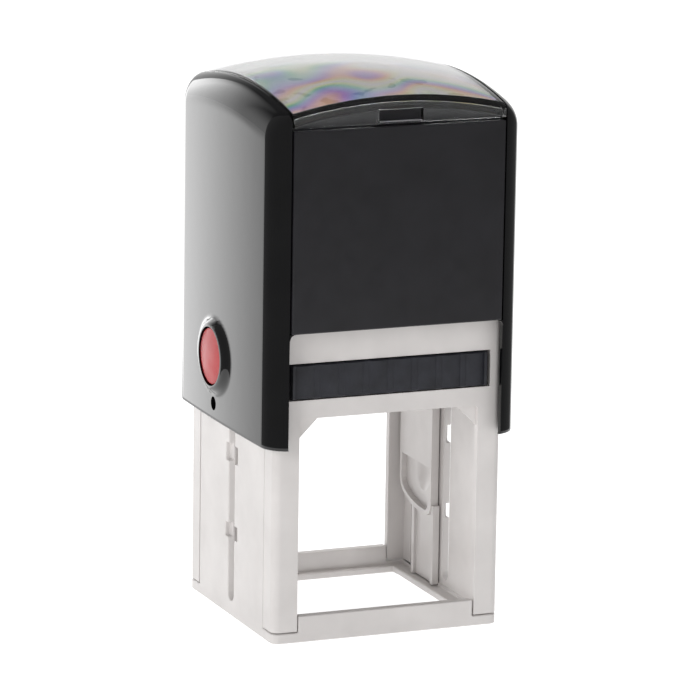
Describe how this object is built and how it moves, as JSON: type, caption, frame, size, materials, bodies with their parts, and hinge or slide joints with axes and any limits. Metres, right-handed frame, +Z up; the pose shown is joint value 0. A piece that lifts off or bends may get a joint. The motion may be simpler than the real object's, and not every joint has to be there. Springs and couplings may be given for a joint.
{
  "type": "self inking stamp",
  "caption": "Self inking stamp: a sprung cap slides down over a slotted frame and turns a square rubber plate from its ink pad onto the paper.",
  "frame": {"origin": "on the surface that the stamp stands on, under the middle of the body", "axes": "+Z up along the press stroke, -Y to the front where the ink cassette pulls out, +X to the right"},
  "size_m": [0.0578, 0.0554, 0.1166],
  "materials": {
    "grey_plastic": "moulded, fine satin",
    "gloss_black_plastic": "polished moulding",
    "satin_black_plastic": "fine spark-eroded satin",
    "charcoal_plastic": "satin",
    "red_plastic": "polished moulding",
    "clear_plastic": "clear polished",
    "card": "printed card with soft colour bands",
    "inked_foam": "open-cell foam soaked in ink",
    "adhesive_foam": "closed-cell foam",
    "red_rubber": "laser-engraved rubber",
    "spring_steel": "drawn wire"
  },
  "bodies": {
    "frame": {"base_frame": "grey_plastic", "upper_frame": "grey_plastic", "flip_guide_left": "grey_plastic", "flip_guide_right": "grey_plastic", "return_spring": "spring_steel"},
    "cassette": {"ink_cassette": "charcoal_plastic", "ink_pad": "inked_foam"},
    "cap": {"cap_shell": "gloss_black_plastic", "front_panel": "satin_black_plastic", "rear_panel": "satin_black_plastic", "index_card": "card", "button_spring_left": "spring_steel", "button_spring_right": "spring_steel"},
    "window": {"top_window": "clear_plastic"},
    "carrier": {"plate_carrier": "grey_plastic", "axle_pin_left": "grey_plastic", "axle_pin_right": "grey_plastic", "die_cushion": "adhesive_foam", "text_plate": "red_rubber"},
    "button_left": {"lock_button_left": "red_plastic"},
    "button_right": {"lock_button_right": "red_plastic"}
  },
  "joints": [
    {"name": "press", "type": "slide", "parent": "frame", "child": "cap", "axis": [0, 0, 1], "range_m": [-0.0404, 0], "stiffness_N_per_m": 500, "springref_m": 0.016, "deforming": ["return_spring"]},
    {"name": "plate_flip", "type": "hinge", "parent": "cap", "child": "carrier", "pos_m": [0, 0, 0.0456], "axis": [1, 0, 0], "range_deg": [0, 180], "deforming": ["ink_pad"]},
    {"name": "cassette_slide", "type": "slide", "parent": "frame", "child": "cassette", "axis": [0, -1, 0], "range_m": [0, 0.045]},
    {"name": "window_lift", "type": "slide", "parent": "cap", "child": "window", "axis": [0, 0, 1], "range_m": [0, 0.015]},
    {"name": "lock_left", "type": "slide", "parent": "cap", "child": "button_left", "axis": [1, 0, 0], "range_m": [0, 0.0012], "stiffness_N_per_m": 400, "springref_m": -0.001, "deforming": ["button_spring_left"]},
    {"name": "lock_right", "type": "slide", "parent": "cap", "child": "button_right", "axis": [-1, 0, 0], "range_m": [0, 0.0012], "stiffness_N_per_m": 400, "springref_m": -0.001, "deforming": ["button_spring_right"]}
  ],
  "couplings": [
    {"joint": "plate_flip", "follows": "press", "rad_per_m": -77.762}
  ]
}
